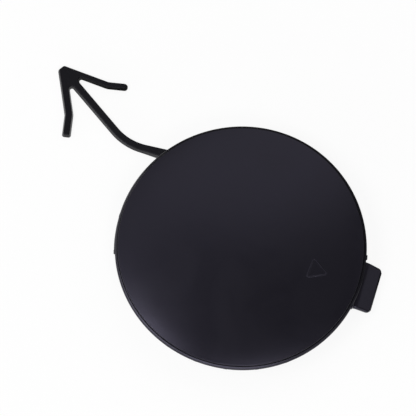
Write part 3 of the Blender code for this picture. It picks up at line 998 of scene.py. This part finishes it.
def regionOf(polygon, axis):  # 0 the face, its edge and the tongue, 1 the rest, 2 the tether
    place = (polygon.center - axis) / mm
    radius = Vector((place.x, place.y)).length
    angle = degrees(atan2(place.y, place.x))
    low, high = regions["tetherAngles"]
    if radius > cap["radius"] + regions["tetherGap"] and low < angle < high:
        return 2
    margin = regions["edgeMargin"] if radius > skirtRadius else cap["edgeHeight"] / 2
    if place.z > edgeUnderside(angle, min(radius, cap["radius"])) + margin:
        return 0
    if angleGap(angle, tongue["angle"]) < regions["tongueAngle"]:
        beyond = radius > cap["radius"] + regions["tongueGap"]
        onTop = place.z > hookHeight(tongue["angle"]) - regions["tongueGap"]
        if radius > skirtRadius + regions["tongueStart"] and (beyond or onTop):
            return 0
    return 1


def dressMoulding():
    axis = faceAxis()
    for settings in (facePlastic, backPlastic, strapPlastic):
        cover.data.materials.append(plasticMaterial(settings))
    for polygon in cover.data.polygons:
        polygon.material_index = regionOf(polygon, axis)
    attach(cover, "root")


dressMoulding()
print("materials assigned")


# Floor, world and lamps

studio = {
    "floorSize": 6.0,
    "floorColours": ((0.80, 0.80, 0.80), (0.84, 0.84, 0.84)),
    "fibreScale": 300.0,
    "whitening": 0.90,
    "ambient": 0.20,
    "wallTop": (0.25, 0.70),  # the white walls fade between these heights of the sky
    "brightSide": 235.0,  # heading of the side that shows white in the gloss
    # level of the dark side: a dim sky in the world, and on the floor a painted shadow of the
    # object in the gloss
    "darkSide": 0.05,
    "skyTurn": (-0.2, 0.6),  # share of the way to the bright side over which the walls turn white
    "paintedShadowFade": (-0.022, -0.010),  # metres from the face's axis over which the floor turns white in the gloss; short of that, on the far side, the floor shows a painted shadow of the object in reflections
    "lampDistance": 1.3,
    "lamps": [  # angle from straight above and heading, then width and height in metres, and watts
        {"name": "leftKey", "tilt": 29, "heading": 200, "size": (0.6, 0.6), "energy": 5.75},
        {"name": "frontKey", "tilt": 34, "heading": 287, "size": (0.4, 0.4), "energy": 4.1},
        {"name": "stripLeft", "tilt": 79, "heading": 206, "size": (1.5, 0.34), "energy": 7.5},
        {"name": "stripFront", "tilt": 79, "heading": 268, "size": (1.5, 0.34), "energy": 7.5},
        {"name": "lowRight", "tilt": 57, "heading": 10, "size": (0.8, 0.8), "energy": 1.5},
        {"name": "leftFill", "tilt": 46, "heading": 150, "size": (1.2, 1.2), "energy": 2.55},
        {"name": "backFill", "tilt": 40, "heading": 80, "size": (1.2, 1.2), "energy": 3.85},
    ],
}


def seenRays(tree, glossShare=1.0):  # 1 for camera and transmission rays, a share for glossy ones
    rays = addNode(tree, "ShaderNodeLightPath").outputs
    gloss = mathNode(tree, "MULTIPLY", rays["Is Glossy Ray"], glossShare)
    looks = mathNode(tree, "MAXIMUM", rays["Is Camera Ray"], gloss)
    return mathNode(tree, "MAXIMUM", looks, rays["Is Transmission Ray"])


def towardsBrightSide(tree, place, start, end):
    towards = addNode(tree, "ShaderNodeVectorMath", [
        (0, place), (1, upright(1, 0, 0, studio["brightSide"]))], operation="DOT_PRODUCT")
    bright = addNode(tree, "ShaderNodeMapRange", [
        ("Value", towards.outputs["Value"]), ("From Min", start), ("From Max", end),
        ("To Min", studio["darkSide"])], interpolation_type="SMOOTHSTEP")
    return bright.outputs[0]


def floorMaterial():
    material = bpy.data.materials.new("paleFloor")
    material.use_nodes = True
    material.cycles.emission_sampling = "NONE"  # its white is only to be seen, not a lamp
    tree = material.node_tree
    tree.nodes.clear()
    place = addNode(tree, "ShaderNodeTexCoord").outputs["Object"]
    fibre = addNode(tree, "ShaderNodeTexNoise", [
        ("Vector", place), ("Scale", studio["fibreScale"]), ("Detail", 2.0)])
    shade = mixColours(tree, fibre.outputs["Fac"], *map(opaque, studio["floorColours"]))
    matt = addNode(tree, "ShaderNodeBsdfDiffuse", [("Color", shade)])
    outward = addNode(tree, "ShaderNodeVectorMath", [(0, place), (1, faceAxis())],
                      operation="SUBTRACT")
    # Painted shadow: glossy rays see this floor's white only on the bright side of the face's axis.
    # On the other side they see it nearly black, in place of the object's shadow.
    bright = towardsBrightSide(tree, outward.outputs[0], *studio["paintedShadowFade"])
    white = addNode(tree, "ShaderNodeEmission", [
        ("Color", (1, 1, 1, 1)), ("Strength", seenRays(tree, bright))])
    share = mathNode(tree, "MULTIPLY", seenRays(tree), studio["whitening"])
    mixed = addNode(tree, "ShaderNodeMixShader", [
        (0, share), (1, matt.outputs[0]), (2, white.outputs[0])])
    addNode(tree, "ShaderNodeOutputMaterial", [("Surface", mixed.outputs[0])])
    return material


def buildFloor():
    half = studio["floorSize"] / 2
    bm = bmesh.new()
    corners = ((-half, -half), (half, -half), (half, half), (-half, half))
    bm.faces.new([bm.verts.new((x, y, 0)) for x, y in corners])
    floor = newForm("floor", bm)
    floor.data.materials.append(floorMaterial())


def lightWorld():
    world = bpy.data.worlds.new("paleRoom")
    bpy.context.scene.world = world
    world.use_nodes = True
    tree = world.node_tree
    background = tree.nodes["Background"]
    background.inputs["Color"].default_value = (1, 1, 1, 1)
    direction = addNode(tree, "ShaderNodeTexCoord").outputs["Generated"]
    upward = addNode(tree, "ShaderNodeSeparateXYZ", [(0, direction)]).outputs[2]
    low = addNode(tree, "ShaderNodeMapRange", [
        ("Value", upward), ("From Min", studio["wallTop"][0]), ("From Max", studio["wallTop"][1]),
        ("To Min", 1 - studio["ambient"]), ("To Max", 0.0)], interpolation_type="SMOOTHSTEP")
    bright = towardsBrightSide(tree, direction, *studio["skyTurn"])
    lift = mathNode(tree, "MULTIPLY", seenRays(tree, bright), low.outputs[0])
    tree.links.new(mathNode(tree, "ADD", lift, studio["ambient"]), background.inputs["Strength"])


def addLamp(settings, target):
    light = bpy.data.lights.new(settings["name"], "AREA")
    light.shape = "ELLIPSE"
    light.size, light.size_y = settings["size"]
    light.energy = settings["energy"]
    lamp = bpy.data.objects.new(settings["name"], light)
    bpy.context.scene.collection.objects.link(lamp)
    tilt = radians(settings["tilt"])
    direction = upright(sin(tilt), 0, cos(tilt), settings["heading"])
    lamp.location = target + direction * studio["lampDistance"]
    lamp.rotation_mode = "QUATERNION"
    lamp.rotation_quaternion = direction.to_track_quat("Z", "Y")


buildFloor()
lightWorld()
for settings in studio["lamps"]:
    addLamp(settings, faceAxis())
print("studio lit")


# Camera at the photograph's angle. The picture is 416 pixels wide and high.

view = {
    "pictureSize": 416,
    "faceMiddle": (240.84, 246.38),  # pixel on which the middle of the rim's plane falls
    "rimHeight": 11.8,  # millimetres above the foot
    "pixelsPerMillimetre": 3.1545,
    "tilt": 15.3,  # degrees from straight above
    "heading": 92.1,  # 90 looks along +Y
    "distance": 3.0,
    "sensorWidth": 36.0,
    "clip": (0.1, 20.0),
}


def setCamera():
    tilt, turn = radians(view["tilt"]), radians(view["heading"])
    back = Vector((sin(tilt) * cos(turn), -sin(tilt) * sin(turn), cos(tilt)))
    up = (Vector((0, 1, 0)) - back * back.y).normalized()
    right = up.cross(back)
    scale = view["pixelsPerMillimetre"] / mm
    half = view["pictureSize"] / 2
    x, y = view["faceMiddle"]
    middle = faceAxis() + Vector((0, 0, view["rimHeight"] * mm))
    middle += right * (half - x) / scale + up * (y - half) / scale
    data = bpy.data.cameras.new("camera")
    data.sensor_width = view["sensorWidth"]
    data.lens = scale * view["sensorWidth"] / view["pictureSize"] * view["distance"]
    data.clip_start, data.clip_end = view["clip"]
    camera = bpy.data.objects.new("camera", data)
    bpy.context.scene.collection.objects.link(camera)
    turned = Matrix((right, up, back)).transposed().to_4x4()
    camera.matrix_world = Matrix.Translation(middle + back * view["distance"]) @ turned
    bpy.context.scene.camera = camera


setCamera()
bpy.context.scene.view_settings.view_transform = "Standard"
print("camera set")

bpy.context.view_layer.update()
